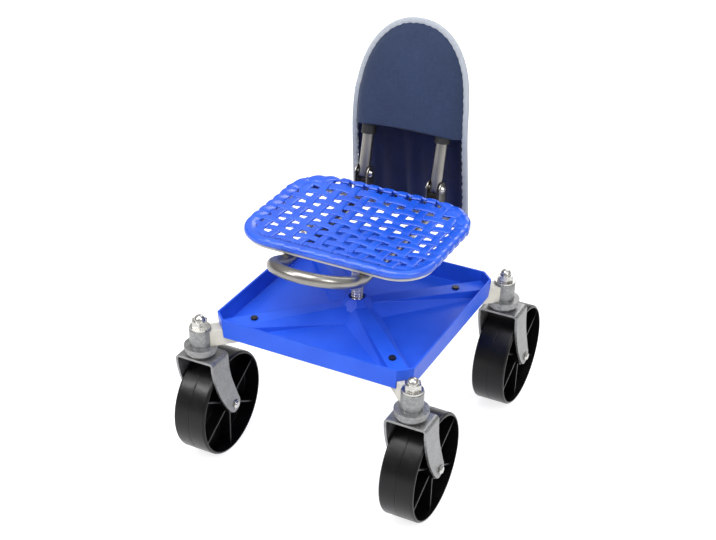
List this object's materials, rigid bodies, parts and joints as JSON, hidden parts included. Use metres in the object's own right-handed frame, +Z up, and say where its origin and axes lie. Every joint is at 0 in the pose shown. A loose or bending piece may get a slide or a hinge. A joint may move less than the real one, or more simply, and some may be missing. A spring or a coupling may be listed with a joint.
{
  "type": "rolling garden seat",
  "caption": "Low rolling seat: woven seat with folding fabric backrest on a height screw, over a square tool tray on an X frame with swivel casters.",
  "frame": {"origin": "centre of the box's footprint, on the floor that the wheels stand on", "axes": "+Z up; -Y towards the front hand loop, +Y towards the backrest; +X to the right as seen from the front"},
  "size_m": [0.4572, 0.559, 0.679],
  "materials": {
    "tray_blue": "smooth moulded blue plastic, light sheen",
    "seat_blue": "glossy blue woven-look plastic",
    "frame_beige": "pale painted steel",
    "plate_blue": "blue paint on the steel plate under the seat",
    "zinc_steel": "zinc-plated pressed steel, dull",
    "bright_nut": "bright plated nuts and bolts",
    "satin_tube": "satin round tube",
    "screw_steel": "oiled thread",
    "nut_brass": "machined nut",
    "wheel_black": "moulded black wheel",
    "black_bolt": "blackened bolt",
    "grip_black": "ribbed black grip",
    "board_black": "plain board",
    "navy_cloth": "woven navy cloth",
    "dark_cloth": "woven dark navy cloth",
    "grey_binding": "pale grey woven tape"
  },
  "bodies": {
    "base": {"tray": "tray_blue", "tray_bolts": "black_bolt", "centre_sleeve": "zinc_steel", "screw_nut": "nut_brass", "arm_front_left": "frame_beige", "arm_front_right": "frame_beige", "arm_back_left": "frame_beige", "arm_back_right": "frame_beige", "sleeve_front_left": "zinc_steel", "sleeve_front_right": "zinc_steel", "sleeve_back_left": "zinc_steel", "sleeve_back_right": "zinc_steel"},
    "caster_front_left": {"fork_front_left": "zinc_steel", "stem_bolt_front_left": "bright_nut", "race_front_left": "zinc_steel", "balls_front_left": "bright_nut", "axle_bolt_front_left": "bright_nut", "bush_front_left": "zinc_steel"},
    "roller_front_left": {"wheel_front_left": "wheel_black"},
    "caster_front_right": {"fork_front_right": "zinc_steel", "stem_bolt_front_right": "bright_nut", "race_front_right": "zinc_steel", "balls_front_right": "bright_nut", "axle_bolt_front_right": "bright_nut", "bush_front_right": "zinc_steel"},
    "roller_front_right": {"wheel_front_right": "wheel_black"},
    "caster_back_left": {"fork_back_left": "zinc_steel", "stem_bolt_back_left": "bright_nut", "race_back_left": "zinc_steel", "balls_back_left": "bright_nut", "axle_bolt_back_left": "bright_nut", "bush_back_left": "zinc_steel"},
    "roller_back_left": {"wheel_back_left": "wheel_black"},
    "caster_back_right": {"fork_back_right": "zinc_steel", "stem_bolt_back_right": "bright_nut", "race_back_right": "zinc_steel", "balls_back_right": "bright_nut", "axle_bolt_back_right": "bright_nut", "bush_back_right": "zinc_steel"},
    "roller_back_right": {"wheel_back_right": "wheel_black"},
    "stop": {"stop_washer": "zinc_steel"},
    "seat": {"seat_screw": "screw_steel", "seat_plate": "plate_blue", "seat_bolts": "zinc_steel", "seat_tube": "satin_tube", "seat_ring": "frame_beige", "seat_pan": "seat_blue", "hinge_bracket_left": "satin_tube", "hinge_bracket_right": "satin_tube", "hinge_bolts": "bright_nut"},
    "backrest": {"post_left": "satin_tube", "post_right": "satin_tube", "collar_left": "grip_black", "collar_right": "grip_black", "back_board": "board_black", "board_screws": "zinc_steel", "cover_front": "navy_cloth", "cover_rear": "dark_cloth", "cover_binding": "grey_binding"}
  },
  "joints": [
    {"name": "swivel_front_left", "type": "hinge", "parent": "base", "child": "caster_front_left", "pos_m": [-0.188, -0.232, 0.2], "axis": [0, 0, 1], "continuous": true},
    {"name": "roll_front_left", "type": "hinge", "parent": "caster_front_left", "child": "roller_front_left", "pos_m": [-0.188, -0.188, 0.0915], "axis": [1, 0, 0], "continuous": true},
    {"name": "swivel_front_right", "type": "hinge", "parent": "base", "child": "caster_front_right", "pos_m": [0.188, -0.232, 0.2], "axis": [0, 0, 1], "continuous": true},
    {"name": "roll_front_right", "type": "hinge", "parent": "caster_front_right", "child": "roller_front_right", "pos_m": [0.188, -0.188, 0.0915], "axis": [1, 0, 0], "continuous": true},
    {"name": "swivel_back_left", "type": "hinge", "parent": "base", "child": "caster_back_left", "pos_m": [-0.188, 0.144, 0.2], "axis": [0, 0, 1], "continuous": true},
    {"name": "roll_back_left", "type": "hinge", "parent": "caster_back_left", "child": "roller_back_left", "pos_m": [-0.188, 0.188, 0.0915], "axis": [1, 0, 0], "continuous": true},
    {"name": "swivel_back_right", "type": "hinge", "parent": "base", "child": "caster_back_right", "pos_m": [0.188, 0.144, 0.2], "axis": [0, 0, 1], "continuous": true},
    {"name": "roll_back_right", "type": "hinge", "parent": "caster_back_right", "child": "roller_back_right", "pos_m": [0.188, 0.188, 0.0915], "axis": [1, 0, 0], "continuous": true},
    {"name": "seat_rise", "type": "slide", "parent": "base", "child": "stop", "axis": [0, 0, 1], "range_m": [-0.0501, 0.0341]},
    {"name": "seat_turn", "type": "hinge", "parent": "stop", "child": "seat", "pos_m": [0, -0.044, 0.25], "axis": [0, 0, 1], "range_deg": [-3600, 2448]},
    {"name": "backrest_fold", "type": "hinge", "parent": "seat", "child": "backrest", "pos_m": [0, 0.106, 0.4194], "axis": [1, 0, 0], "range_deg": [0, 80]}
  ],
  "couplings": [
    {"joint": "seat_rise", "follows": "seat_turn", "m_per_rad": 0.00079577}
  ]
}
